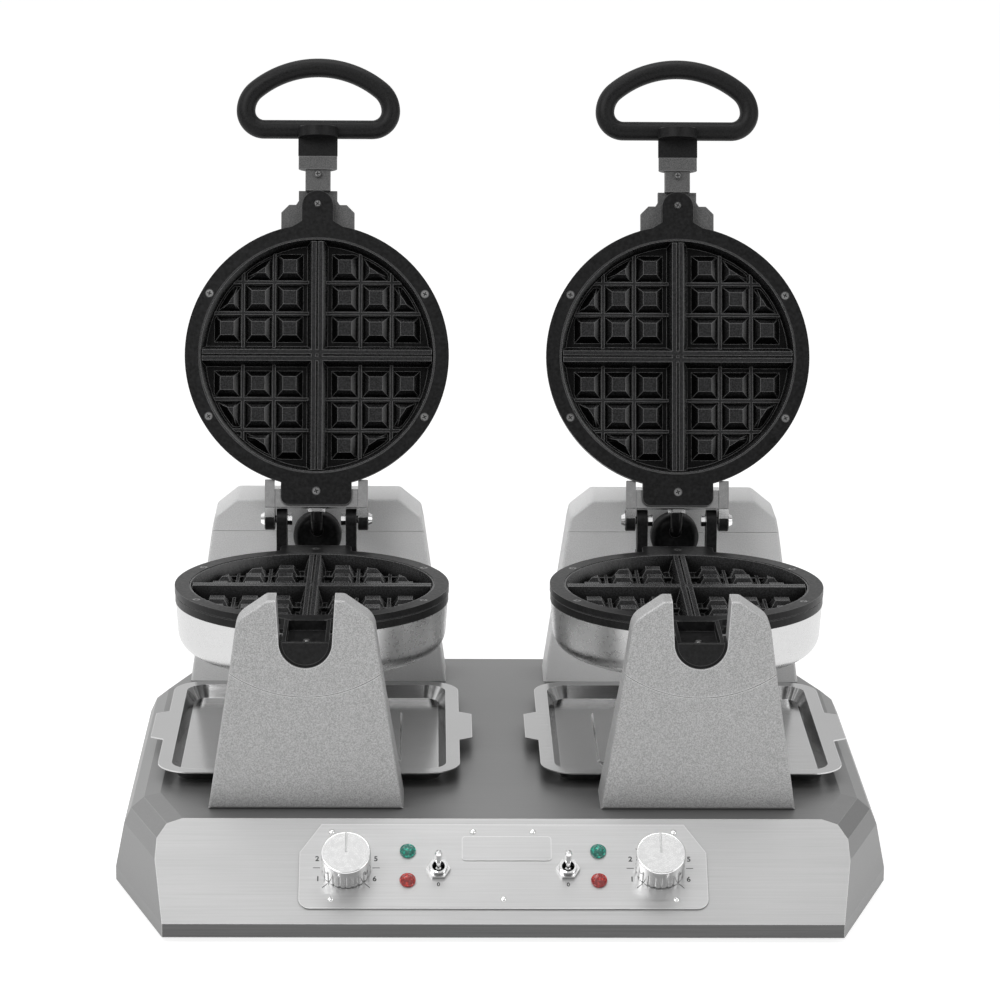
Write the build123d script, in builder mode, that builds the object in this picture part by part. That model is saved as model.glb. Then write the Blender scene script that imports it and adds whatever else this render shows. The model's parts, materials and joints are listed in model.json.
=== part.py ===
from build123d import *
import os
from math import atan2, cos, degrees, hypot, radians, sin, sqrt, tan

# Double belgian waffle maker: two irons that turn over, side by side on one steel base.
# Millimetres, X to the right, Y to the back, Z up. The origin is on the floor, under the middle of the base.
# Each half of an iron is drawn once, in the frame of its parting face: local x across, local y towards the
# handle and local z into the shell. The lower halves lie face up, and the lids stand open, leaning back.

os.makedirs("parts", exist_ok=True)

# Base, a folded sheet box on rubber feet
foot_height = 4.0
base_width = 547.0
base_depth = 478.65
base_height = 63.0
sheet = 1.2
lip_height = 9.8
slope_run = 68.4
front_chamfer_x = 40.5
front_chamfer_y = 122.0
rear_chamfer_y = 76.0
wall_lean = 11.0
bend_radius = 26.0
bend_facets = 3
plate_gap = 0.3
foot_radius = 14.0
foot_inset_x = 62.0
foot_inset_y = 70.0
vent_length = 34.0
vent_width = 5.0
vent_pitch = 14.0
vent_count = 7

# Irons
iron_spacing = 275.0
iron_setback = 14.7
shaft_rise = 120.6
cavity_radius = 90.0
cavity_depth = 13.0
rim_width = 10.5
rim_height = 11.4
rim_lip = 5.0
rim_groove = 0.8
shell_height = 36.6
shell_inset = 0.7
shell_draft = 2.5
shell_fillet = 15.0
shell_wall = 1.2
plate_floor = 5.0
plate_flange = 4.0
wall_slope = 4.6
peg_base = 20.6
peg_top = 11.0
peg_height = 7.6
peg_first = 21.0
peg_pitch = 23.8
ridge_height = 3.4
ridge_width = 2.2
divider_base = 17.0
divider_top = 8.4
divider_gap = 0.9
divider_groove = 1.8
heater_radius = 3.6
heater_ring = 58.0
heater_arc = 320.0
heater_leg = 12.0

# Tabs, screws and journals of the halves
neck_width = 24.0
neck_length = 126.4
neck_step_width = 44.0
neck_step_length = 103.0
tab_height = 8.0
tail_width = 53.7
tail_length = 114.0
tail_corner = 6.0
screw_x = 82.0
screw_y = 47.0
neck_screw_y = 116.0
tail_screw_y = 103.6
screw_radius = 1.5
screw_head_radius = 2.8
screw_head_height = 1.5
screw_length = 7.0
screw_sink = 0.2
journal_radius = 16.5
journal_start = 98.0
journal_end = 163.0
pocket_width = 27.4
pocket_start = 104.0
pocket_end = 160.0
pocket_depth = 7.5
pocket_screw_y = 134.0
face_gap = 0.3

# Front supports, each a post with a notched cradle on it
front_face_y = 164.3
cradle_depth = 22.0
post_depth = 45.0
post_foot_half = 68.3
seam_half = 53.0
seam_drop_side = 22.0
seam_drop_middle = 39.0
shoulder_half = 47.8
shoulder_rise = 15.5
horn_outer = 27.0
horn_rise = 30.0
horn_inner = 20.6
seam_gap = 0.4
liner_wall = 1.8
liner_clearance = 0.3
edge_round = 2.0

# Rear supports, each a post with a bearing cap on it
rear_face_y = 160.0
rear_depth = 46.0
rear_foot_half = 99.4
rear_seam_half = 82.0
rear_shoulder_half = 79.6
rear_shoulder_rise = 11.6
rear_top_half = 63.0
rear_rise = 25.0
shaft_radius = 12.0
shaft_bore = 7.5
shaft_clearance = 0.05
bearing_wall = 4.0
bearing_length = 26.0
collar_radius = 18.5
collar_start = 137.0
collar_end = 152.0
collar_round = 7.0

# Hinge between an iron and its lid
lid_lean = 17.4
hinge_y = 124.0
hinge_z = 18.0
lug_radius = 8.0
lug_inner = 22.3
lug_outer = 30.4
arm_inner = 31.7
arm_outer = 39.2
bolt_radius = 3.0
bolt_clearance = 0.05
bolt_head_radius = 5.4
bolt_head_height = 2.9
bolt_nut_width = 8.0
bolt_nut_height = 3.6
web_y = 113.4
web_thickness = 2.0
web_height = 26.0
base_plate_half = 30.6
hinge_plate = 5.8
conduit_radius = 4.6
conduit_clearance = 0.1
conduit_exit_z = 6.0
conduit_lid_z = 15.5
conduit_grip = 4.0

# Handle
bracket_wing_half = 28.0
bracket_wing_end = 116.3
bracket_half = 14.7
bracket_neck_end = 127.0
bracket_shank_half = 9.5
bracket_head_start = 142.6
bracket_head_end = 152.8
bracket_plate = 6.0
shank_depth = 11.0
handle_screw_y = 139.0
boss_radius = 15.0
boss_end = 168.0
bar_radius = 7.2
loop_half_width = 55.4
loop_height = 47.7
loop_corner = 14.2
loop_top_radius = 75.0
bar_y = 174.3
bar_z = 7.5

# Drip trays
tray_width = 217.0
tray_length = 236.0
tray_height = 10.0
tray_sheet = 0.9
tray_flange = 9.0
tray_corner = 26.0
tray_draft = 6.0
tray_ear = 9.5
tray_ear_length = 72.0
tray_ear_tip = 60.0
tray_setback = 6.5
tray_emboss = 1.4
tray_emboss_half_x = 66.0
tray_emboss_half_y = 72.0

# Control panel, in the frame of the sloping face: x across and y up the slope from the lip
panel_width = 281.0
panel_bottom = 11.9
panel_top = 81.2
panel_sheet = 1.0
panel_cut_x = 14.8
panel_cut_y = 23.4
panel_round = 8.0
knob_x = 108.0
control_y = 45.0
knob_radius = 17.0
knob_height = 19.0
knob_grip = 12.5
knob_groove_radius = 1.1
knob_grooves = 24
knob_clearance = 0.5
pointer_width = 1.4
pointer_depth = 0.6
spindle_radius = 3.0
spindle_length = 13.0
thermostat_size = 34.0
thermostat_depth = 22.0
lamp_x = 65.8
green_y = 58.6
red_y = 34.6
lamp_radius = 5.6
lamp_stem_radius = 4.2
lamp_stem_length = 20.0
lamp_rim = 1.2
lamp_height = 4.4
switch_x = 44.6
switch_y = 43.5
switch_nut_width = 14.4
switch_nut_height = 2.4
bushing_radius = 5.8
bushing_height = 5.0
bushing_bore = 2.8
bushing_mouth = 4.4
switch_body_x = 13.0
switch_body_y = 26.0
switch_body_depth = 22.0
lever_tilt = 14.0
lever_length = 16.5
lever_ball_top = 52.0
lever_tip_radius = 2.6
lever_ball = 2.5
lever_pivot = 1.5
hole_clearance = 0.3

# Supply
gland_radius = 8.0
gland_bore = 4.5
gland_flange = 11.0
gland_length = 7.0
gland_x = 120.0
gland_z = 30.0
block_x = 60.0
block_y = 22.0
block_z = 18.0

# Places worked out from the sizes above
base_top = foot_height + base_height
shaft_z = base_top + shaft_rise
rim_radius = cavity_radius + rim_width
shell_radius = rim_radius - shell_inset
front_y = -base_depth / 2
back_y = base_depth / 2
wall_z = foot_height + lip_height
half_height = rim_height + shell_height
flange_radius = cavity_radius + plate_flange
sides = {"left": -1, "right": 1}


def lower_face(side):
    """Parting face of a lower half: local z points down into its shell."""
    origin = (side * iron_spacing / 2, iron_setback, shaft_z)
    return Plane(origin=origin, x_dir=(1, 0, 0), z_dir=(0, 0, -1))


def lid_face(side):
    """Parting face of an open lid, turned up about its hinge and leaning back past upright."""
    lean = radians(lid_lean)
    y = iron_setback + hinge_y + hinge_y * sin(lean) - hinge_z * cos(lean)
    z = shaft_z + hinge_z + hinge_y * cos(lean) + hinge_z * sin(lean)
    back = (0, cos(lean), -sin(lean))
    return Plane(origin=(side * iron_spacing / 2, y, z), x_dir=(-1, 0, 0), z_dir=back)


def section(face):
    """Plane through the middle of a half, with local y along the depth."""
    return Plane(origin=face.origin, x_dir=face.x_dir, z_dir=-face.y_dir)


def side_view(face, x):
    """Plane across a half at local x, with its own x along the half and its own y along the depth."""
    origin = face.origin + face.x_dir * x
    return Plane(origin=origin, x_dir=face.y_dir, z_dir=face.x_dir)


def depth_axis(face):
    return Axis(face.origin, face.z_dir)


def front_view(side, y):
    """Upright plane across one iron: local x to the right, local y up from the shaft, normal to the back."""
    origin = (side * iron_spacing / 2, iron_setback + y, shaft_z)
    return Plane(origin=origin, x_dir=(-1, 0, 0), z_dir=(0, 1, 0))


slope_angle = degrees(atan2(base_height - lip_height, slope_run))
slope_length = hypot(base_height - lip_height, slope_run)
slope = Plane(
    origin=(0, front_y, wall_z),
    x_dir=(1, 0, 0),
    z_dir=(0, -sin(radians(slope_angle)), cos(radians(slope_angle))),
)


# Base housing
def plan_points(extra):
    """Eight corners of the box seen from above, carried past its front and back by extra."""
    half = base_width / 2
    ratio = front_chamfer_x / front_chamfer_y
    y1 = front_y + front_chamfer_y
    y2 = back_y - rear_chamfer_y
    front_half = half - (front_chamfer_y + extra) * ratio
    rear_half = half - (rear_chamfer_y + extra) * ratio
    right = [(front_half, front_y - extra), (half, y1), (half, y2), (rear_half, back_y + extra)]
    left = [(-x, y) for x, y in reversed(right)]
    return right + left


def build_box(wall):
    """Box with every face set in by the thickness of the wall, open ended at the floor."""
    lean = radians(wall_lean)
    bend_start = base_top - bend_radius * (1 - sin(lean))
    start_inset = (bend_start - wall_z) * tan(lean)
    levels = [(wall, foot_height), (wall, wall_z)]
    for step in range(bend_facets + 1):
        turn = lean + (radians(90) - lean) * step / bend_facets
        inset = start_inset + bend_radius * (cos(lean) - cos(turn))
        level = bend_start + bend_radius * (sin(turn) - sin(lean))
        levels.append((inset + wall * cos(turn), level - wall * sin(turn)))
    with BuildPart() as box:
        for inset, level in levels:
            with BuildSketch(Plane.XY.offset(level)):
                with BuildLine():
                    Polyline(*plan_points(bend_radius * 2), close=True)
                make_face()
                if inset > 0:
                    offset(amount=-inset, kind=Kind.INTERSECTION)
        loft(ruled=True)
        with BuildSketch(Plane.YZ):
            with BuildLine():
                Polyline(
                    (front_y, foot_height - wall),
                    (front_y, wall_z),
                    (front_y + slope_run, base_top),
                    (back_y, base_top),
                    (back_y, foot_height - wall),
                    close=True,
                )
            make_face()
            if wall > 0:
                offset(amount=-wall, kind=Kind.INTERSECTION)
        extrude(amount=base_width, both=True, mode=Mode.INTERSECT)
    return box.part


with BuildPart() as base_housing:
    add(build_box(0))
    add(build_box(sheet), mode=Mode.SUBTRACT)
    with BuildSketch(slope.offset(sheet)) as control_holes:
        with Locations((-knob_x, control_y), (knob_x, control_y)):
            Circle(spindle_radius + hole_clearance)
        with Locations(*[(side * lamp_x, y) for side in (-1, 1) for y in (green_y, red_y)]):
            Circle(lamp_stem_radius + hole_clearance)
        with Locations((-switch_x, switch_y), (switch_x, switch_y)):
            Circle(bushing_radius + hole_clearance)
    extrude(amount=-3 * sheet, mode=Mode.SUBTRACT)
    with BuildSketch(Plane.XZ.offset(-back_y - sheet)):
        with Locations((gland_x, gland_z)):
            Circle(gland_radius + hole_clearance)
    extrude(amount=3 * sheet, mode=Mode.SUBTRACT)
base_housing.part.label = "base_housing"
export_step(base_housing.part, "parts/base_housing.step")

with BuildPart() as bottom_plate:
    with BuildSketch(Plane.XY.offset(foot_height)):
        with BuildLine():
            Polyline(*plan_points(0), close=True)
        make_face()
        offset(amount=-sheet - plate_gap, kind=Kind.INTERSECTION)
        with GridLocations(vent_length * 2, vent_pitch, 2, vent_count):
            SlotOverall(vent_length, vent_width, mode=Mode.SUBTRACT)
    extrude(amount=sheet)
bottom_plate.part.label = "bottom_plate"
export_step(bottom_plate.part, "parts/bottom_plate.step")

with BuildPart() as base_feet:
    with BuildSketch(Plane.XY):
        with GridLocations(base_width - 2 * foot_inset_x, base_depth - 2 * foot_inset_y, 2, 2):
            Circle(foot_radius)
    extrude(amount=foot_height)
    chamfer(base_feet.edges().group_by(Axis.Z)[0], foot_height / 4)
base_feet.part.label = "base_feet"
export_step(base_feet.part, "parts/base_feet.step")

with BuildPart() as inlet_gland:
    with BuildSketch(Plane.XZ.offset(-back_y)):
        with Locations((gland_x, gland_z)):
            Circle(gland_radius)
    extrude(amount=gland_length)
    with BuildSketch(Plane.XZ.offset(sheet + plate_gap - back_y)):
        with Locations((gland_x, gland_z)):
            Circle(gland_flange)
    extrude(amount=gland_length - sheet - plate_gap)
    with BuildSketch(Plane.XZ.offset(-back_y)):
        with Locations((gland_x, gland_z)):
            Circle(gland_bore)
    extrude(amount=gland_length, mode=Mode.SUBTRACT)
inlet_gland.part.label = "inlet_gland"
export_step(inlet_gland.part, "parts/inlet_gland.step")

with BuildPart() as terminal_block:
    with BuildSketch(Plane.XY.offset(foot_height + sheet)):
        with Locations((gland_x, back_y - 2 * block_y)):
            Rectangle(block_x, block_y)
    extrude(amount=block_z)
    with BuildSketch(Plane.XY.offset(foot_height + sheet + block_z)):
        with Locations((gland_x, back_y - 2 * block_y)):
            with GridLocations(block_x / 4, block_y / 2, 4, 2):
                Circle(screw_head_radius)
    extrude(amount=-block_z / 3, mode=Mode.SUBTRACT)
terminal_block.part.label = "terminal_block"
export_step(terminal_block.part, "parts/terminal_block.step")

# Control panel and what it carries
with BuildPart() as control_panel:
    with BuildSketch(slope) as panel_outline:
        with BuildLine():
            half = panel_width / 2
            Polyline(
                (-half, panel_bottom),
                (half, panel_bottom),
                (half, panel_top - panel_cut_y),
                (half - panel_cut_x, panel_top),
                (panel_cut_x - half, panel_top),
                (-half, panel_top - panel_cut_y),
                close=True,
            )
        make_face()
        fillet(panel_outline.vertices().group_by(Axis.Y)[0], panel_round)
    extrude(amount=panel_sheet)
    extrude(control_holes.sketch, amount=2 * panel_sheet, both=True, mode=Mode.SUBTRACT)
control_panel.part.label = "control_panel"
export_step(control_panel.part, "parts/control_panel.step")

lamp_rows = {"green": green_y, "red": red_y}
for colour, row in lamp_rows.items():
    with BuildPart() as lenses:
        with BuildSketch(slope.offset(panel_sheet)):
            with Locations((-lamp_x, row), (lamp_x, row)):
                Circle(lamp_radius)
        extrude(amount=lamp_rim)
        with BuildSketch(slope.offset(panel_sheet + lamp_rim)):
            with Locations((-lamp_x, row), (lamp_x, row)):
                RegularPolygon(lamp_radius - lamp_rim / 2, 10)
        extrude(amount=lamp_height - lamp_rim, taper=34)
        with BuildSketch(slope.offset(panel_sheet)):
            with Locations((-lamp_x, row), (lamp_x, row)):
                Circle(lamp_stem_radius)
        extrude(amount=-lamp_stem_length)
    lenses.part.label = f"{colour}_lamps"
    export_step(lenses.part, f"parts/{colour}_lamps.step")

with BuildPart() as switch_bodies:
    with BuildSketch(slope.offset(-sheet - plate_gap)):
        with Locations((-switch_x, switch_y), (switch_x, switch_y)):
            Rectangle(switch_body_x, switch_body_y)
    extrude(amount=-switch_body_depth)
    with BuildSketch(slope.offset(-sheet - plate_gap)):
        with Locations((-switch_x, switch_y), (switch_x, switch_y)):
            Circle(bushing_radius)
    extrude(amount=sheet + plate_gap + panel_sheet + bushing_height)
    with BuildSketch(slope.offset(panel_sheet)):
        with Locations((-switch_x, switch_y), (switch_x, switch_y)):
            RegularPolygon(switch_nut_width / 2, 6, major_radius=False)
    extrude(amount=switch_nut_height)
    with BuildSketch(slope.offset(panel_sheet + bushing_height)):
        with Locations((-switch_x, switch_y), (switch_x, switch_y)):
            Circle(bushing_bore)
    extrude(amount=-bushing_height - 2 * lever_ball, mode=Mode.SUBTRACT)
    mouth_depth = bushing_height - lever_pivot
    with BuildSketch(slope.offset(panel_sheet + bushing_height)):
        with Locations((-switch_x, switch_y), (switch_x, switch_y)):
            Circle(bushing_mouth)
    mouth_taper = degrees(atan2(bushing_mouth - bushing_bore, mouth_depth))
    extrude(amount=-mouth_depth, taper=mouth_taper, mode=Mode.SUBTRACT)
switch_bodies.part.label = "switch_bodies"
export_step(switch_bodies.part, "parts/switch_bodies.step")

with BuildPart() as thermostats:
    with BuildSketch(slope.offset(-sheet - plate_gap)):
        with Locations((-knob_x, control_y), (knob_x, control_y)):
            Rectangle(thermostat_size, thermostat_size)
    extrude(amount=-thermostat_depth)
    with BuildSketch(slope.offset(-sheet - plate_gap)):
        with Locations((-knob_x, control_y), (knob_x, control_y)):
            Circle(spindle_radius)
    extrude(amount=sheet + plate_gap + panel_sheet + spindle_length)
thermostats.part.label = "thermostats"
export_step(thermostats.part, "parts/thermostats.step")

for name, side in sides.items():
    knob_seat = slope.offset(panel_sheet + knob_clearance)
    with BuildPart() as knob:
        with BuildSketch(knob_seat):
            with Locations((side * knob_x, control_y)):
                Circle(knob_radius)
        extrude(amount=knob_height)
        fillet(knob.edges().sort_by_distance(slope.origin + slope.z_dir * 999)[0], edge_round / 2)
        with BuildSketch(knob_seat):
            with Locations((side * knob_x, control_y)):
                with PolarLocations(knob_radius + knob_groove_radius / 2, knob_grooves):
                    Circle(knob_groove_radius)
        extrude(amount=knob_grip, mode=Mode.SUBTRACT)
        with BuildSketch(knob_seat.offset(knob_height)):
            with Locations((side * knob_x, control_y + knob_radius / 2)):
                Rectangle(pointer_width, knob_radius)
        extrude(amount=-pointer_depth, mode=Mode.SUBTRACT)
        with BuildSketch(knob_seat):
            with Locations((side * knob_x, control_y)):
                Circle(spindle_radius + shaft_clearance)
        extrude(amount=spindle_length, mode=Mode.SUBTRACT)
    knob.part.label = f"{name}_knob"
    export_step(knob.part, f"parts/{name}_knob.step")

    pivot = slope.offset(panel_sheet + lever_pivot)
    pivot.origin = pivot.origin + slope.x_dir * side * switch_x + slope.y_dir * switch_y
    tilted = pivot.rotated((-lever_tilt, 0, 0))
    lever_section = Plane(origin=tilted.origin, x_dir=tilted.x_dir, z_dir=-tilted.y_dir)
    with BuildPart() as lever:
        with BuildSketch(lever_section):
            with BuildLine():
                tip = lever_length - lever_tip_radius
                ball = CenterArc((0, 0), lever_ball, -90, 90 + lever_ball_top)
                Polyline(
                    ball @ 1,
                    (lever_tip_radius, tip),
                    (lever_tip_radius * 0.75, lever_length - lever_tip_radius / 3),
                    (0, lever_length),
                    (0, -lever_ball),
                )
            make_face()
        revolve(axis=Axis(tilted.origin, tilted.z_dir))
    lever.part.label = f"{name}_switch_lever"
    export_step(lever.part, f"parts/{name}_switch_lever.step")

# Supports at the front and back of each iron
seam_rise = seam_drop_middle - seam_drop_side
seam_radius = (seam_half**2 + seam_rise**2) / (2 * seam_rise)
seam_centre = seam_radius - seam_drop_middle
notch_radius = journal_radius + liner_clearance + liner_wall


def front_outline():
    """Half outlines mirrored: foot, waist and the horns either side of the notch."""
    right = [
        (post_foot_half, -shaft_rise),
        (seam_half, -seam_drop_side),
        (shoulder_half, shoulder_rise),
        (horn_outer, horn_rise),
    ]
    return right + [(-x, z) for x, z in reversed(right)]


for name, side in sides.items():
    face = front_view(side, -front_face_y)
    with BuildPart() as front_block:
        with BuildSketch(face) as front_shape:
            with BuildLine():
                Polyline(*front_outline(), close=True)
            make_face()
            shoulders = front_shape.vertices().group_by(Axis.Y)[-2]
            fillet(shoulders, shoulder_rise)
            fillet(front_shape.vertices().group_by(Axis.Y)[-1], horn_rise / 6)
        extrude(amount=post_depth)
        fillet(front_block.faces().sort_by(Axis.Y)[0].edges(), edge_round)
        with BuildSketch(Plane.YZ.offset(side * iron_spacing / 2)):
            with BuildLine():
                y_top = iron_setback - front_face_y + cradle_depth
                y_foot = iron_setback - front_face_y + post_depth
                Polyline(
                    (y_top, shaft_z + horn_rise),
                    (y_top, shaft_z - seam_drop_side),
                    (y_foot, base_top),
                    (y_foot + post_depth, base_top),
                    (y_foot + post_depth, shaft_z + horn_rise),
                    close=True,
                )
            make_face()
        extrude(amount=post_foot_half, both=True, mode=Mode.SUBTRACT)

    with BuildPart() as front_post:
        add(front_block.part)
        with BuildSketch(face):
            with Locations((0, seam_centre)):
                Circle(seam_radius + seam_gap)
        extrude(amount=post_depth, mode=Mode.SUBTRACT)
    front_post.part.label = f"{name}_front_post"
    export_step(front_post.part, f"parts/{name}_front_post.step")

    with BuildPart() as front_cradle:
        add(front_block.part)
        with BuildSketch(face):
            with Locations((0, seam_centre)):
                Circle(seam_radius)
        extrude(amount=post_depth, mode=Mode.INTERSECT)
        with BuildSketch(face):
            with BuildLine():
                CenterArc((0, 0), notch_radius, 180, 180)
                Polyline(
                    (notch_radius, 0),
                    (horn_inner, horn_rise + edge_round),
                    (-horn_inner, horn_rise + edge_round),
                    (-notch_radius, 0),
                )
            make_face()
        extrude(amount=post_depth, mode=Mode.SUBTRACT)
    front_cradle.part.label = f"{name}_front_cradle"
    export_step(front_cradle.part, f"parts/{name}_front_cradle.step")

with BuildPart() as front_liners:
    for side in sides.values():
        with BuildSketch(front_view(side, -front_face_y + edge_round)):
            with BuildLine():
                CenterArc((0, 0), notch_radius, 180, 180)
                Line((notch_radius, 0), (notch_radius - liner_wall, 0))
                CenterArc((0, 0), notch_radius - liner_wall, 180, 180)
                Line((liner_wall - notch_radius, 0), (-notch_radius, 0))
            make_face()
        extrude(amount=cradle_depth - edge_round)
front_liners.part.label = "front_liners"
export_step(front_liners.part, "parts/front_liners.step")

bearing_radius = shaft_radius + shaft_clearance + bearing_wall
for name, side in sides.items():
    face = front_view(side, rear_face_y)
    with BuildPart() as rear_post:
        with BuildSketch(face):
            with BuildLine():
                Polyline(
                    (rear_foot_half, -shaft_rise),
                    (rear_seam_half, -seam_gap),
                    (-rear_seam_half, -seam_gap),
                    (-rear_foot_half, -shaft_rise),
                    close=True,
                )
            make_face()
            Circle(bearing_radius, mode=Mode.SUBTRACT)
        extrude(amount=rear_depth)
        upright = rear_post.edges().filter_by(GeomType.LINE).filter_by(
            lambda edge: abs(edge.tangent_at(0).Z) > 0.5
        )
        fillet(upright, edge_round)
    rear_post.part.label = f"{name}_rear_post"
    export_step(rear_post.part, f"parts/{name}_rear_post.step")

    with BuildPart() as rear_cap:
        with BuildSketch(face) as cap_shape:
            with BuildLine():
                Polyline(
                    (rear_seam_half, 0),
                    (rear_shoulder_half, rear_shoulder_rise),
                    (rear_top_half, rear_rise),
                    (-rear_top_half, rear_rise),
                    (-rear_shoulder_half, rear_shoulder_rise),
                    (-rear_seam_half, 0),
                    close=True,
                )
            make_face()
            fillet(cap_shape.vertices().filter_by_position(Axis.Y, 1, rear_rise + 1), rear_shoulder_rise / 2)
        extrude(amount=rear_depth)
        top = rear_cap.edges().filter_by_position(Axis.Z, shaft_z + 1, shaft_z + rear_rise + 1)
        rims = top.filter_by(lambda edge: edge.center().Y < iron_setback + rear_face_y + 1)
        fillet(rims, edge_round)
        with BuildSketch(face):
            Circle(bearing_radius)
        extrude(amount=rear_depth, mode=Mode.SUBTRACT)
    rear_cap.part.label = f"{name}_rear_cap"
    export_step(rear_cap.part, f"parts/{name}_rear_cap.step")

with BuildPart() as rear_bearings:
    for side in sides.values():
        with BuildSketch(front_view(side, rear_face_y)):
            Circle(bearing_radius)
            Circle(shaft_radius + shaft_clearance, mode=Mode.SUBTRACT)
        extrude(amount=bearing_length)
rear_bearings.part.label = "rear_bearings"
export_step(rear_bearings.part, "parts/rear_bearings.step")


# Halves of the irons
def build_rim(face, is_lower):
    """Ring that frames the baking plate, with its neck and tail tabs."""
    hole_depth = tab_height + 2 * rim_height
    with BuildPart() as rim:
        with BuildSketch(section(face)):
            with BuildLine():
                Polyline(
                    (cavity_radius, 0),
                    (rim_radius, 0),
                    (rim_radius, rim_lip),
                    (rim_radius - rim_groove, rim_lip),
                    (rim_radius - rim_groove, rim_lip + rim_groove),
                    (rim_radius - rim_groove / 2, rim_lip + rim_groove),
                    (rim_radius - rim_groove / 2, rim_height),
                    (flange_radius + plate_gap, rim_height),
                    (flange_radius + plate_gap, rim_lip),
                    (cavity_radius, rim_lip),
                    close=True,
                )
            make_face()
        revolve(axis=depth_axis(face))
        with BuildSketch(face):
            with BuildLine():
                half = neck_width / 2
                Line((-half, 0), (half, 0))
                Line((half, 0), (half, neck_length - half))
                CenterArc((0, neck_length - half), half, 0, 180)
                Line((-half, neck_length - half), (-half, 0))
            make_face()
            with BuildLine():
                step = neck_step_width / 2
                Polyline(
                    (-step, 0),
                    (step, 0),
                    (step, neck_step_length - half / 2),
                    (neck_width / 2, neck_step_length),
                    (-neck_width / 2, neck_step_length),
                    (-step, neck_step_length - half / 2),
                    close=True,
                )
            make_face()
            with Locations((0, -tail_length / 2)):
                RectangleRounded(tail_width, tail_length, tail_corner)
            Circle(flange_radius + plate_gap, mode=Mode.SUBTRACT)
        extrude(amount=tab_height)
        if is_lower:
            journal_face = Plane(
                origin=face.origin + face.y_dir * journal_start,
                x_dir=face.x_dir,
                z_dir=face.y_dir,
            )
            with BuildSketch(journal_face):
                Circle(journal_radius)
                with Locations((0, journal_radius - face_gap)):
                    Rectangle(2 * journal_radius, 2 * journal_radius, mode=Mode.SUBTRACT)
            extrude(amount=journal_end - journal_start)
            with BuildSketch(face.offset(-1)):
                with Locations((0, (pocket_start + pocket_end) / 2)):
                    Rectangle(pocket_width, pocket_end - pocket_start)
            extrude(amount=pocket_depth + 1, mode=Mode.SUBTRACT)
            with BuildSketch(face.offset(rim_lip)):
                Circle(flange_radius + plate_gap)
            extrude(amount=journal_radius, mode=Mode.SUBTRACT)
            with BuildSketch(face.offset(rim_height)):
                Circle(rim_radius)
            extrude(amount=journal_radius, mode=Mode.SUBTRACT)
        with BuildSketch(face):
            with Locations(*screw_places()):
                Circle(screw_head_radius + hole_clearance)
        extrude(amount=screw_head_height + screw_sink, mode=Mode.SUBTRACT)
        with BuildSketch(face):
            with Locations(*screw_places()):
                Circle(screw_radius + hole_clearance / 2)
            with Locations((0, pocket_screw_y if is_lower else neck_screw_y)):
                Circle(screw_radius + hole_clearance / 2)
        extrude(amount=hole_depth, mode=Mode.SUBTRACT)
    return rim.part


def screw_places():
    """Sunk screws of a rim: four round the ring and one on the tail."""
    ring = [(x * screw_x, y * screw_y) for x in (-1, 1) for y in (-1, 1)]
    return ring + [(0, -tail_screw_y)]


def build_screws(face, is_lower):
    """Screws of a half: sunk in the rim, and dome-headed along the neck."""
    with BuildPart() as screws:
        with BuildSketch(face.offset(screw_sink)):
            with Locations(*screw_places()):
                Circle(screw_head_radius)
        extrude(amount=screw_head_height)
        with BuildSketch(face.offset(screw_sink)):
            with Locations(*screw_places()):
                Circle(screw_radius)
        extrude(amount=screw_length)
        domes = [(0, neck_screw_y, 0), (0, handle_screw_y, face_gap)]
        if is_lower:
            domes = [(0, pocket_screw_y, pocket_depth)]
        for x, y, seat in domes:
            with BuildSketch(face.offset(seat)):
                with Locations((x, y)):
                    Circle(screw_head_radius)
            extrude(amount=-screw_head_height, taper=25)
            with BuildSketch(face.offset(seat)):
                with Locations((x, y)):
                    Circle(screw_radius)
            extrude(amount=screw_length)
    return screws.part


def build_shell(face):
    """Drawn steel cup behind the plate."""
    with BuildPart() as shell:
        with BuildSketch(section(face)):
            with BuildLine():
                Polyline(
                    (0, rim_height),
                    (shell_radius, rim_height),
                    (shell_radius - shell_draft, half_height),
                    (0, half_height),
                    close=True,
                )
            make_face()
        revolve(axis=depth_axis(face))
        fillet(shell.edges().sort_by_distance(face.origin)[-1], shell_fillet)
        mouth = shell.faces().sort_by_distance(face.origin)[0]
        offset(amount=-shell_wall, openings=mouth)
    return shell.part


def peg_places():
    """Centres of the pegs in one quarter that lie inside the plate."""
    steps = [peg_first + peg_pitch * i for i in range(3)]
    reach = cavity_radius - wall_slope
    return [(x, y) for x in steps for y in steps if hypot(x, y) < reach]


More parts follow.
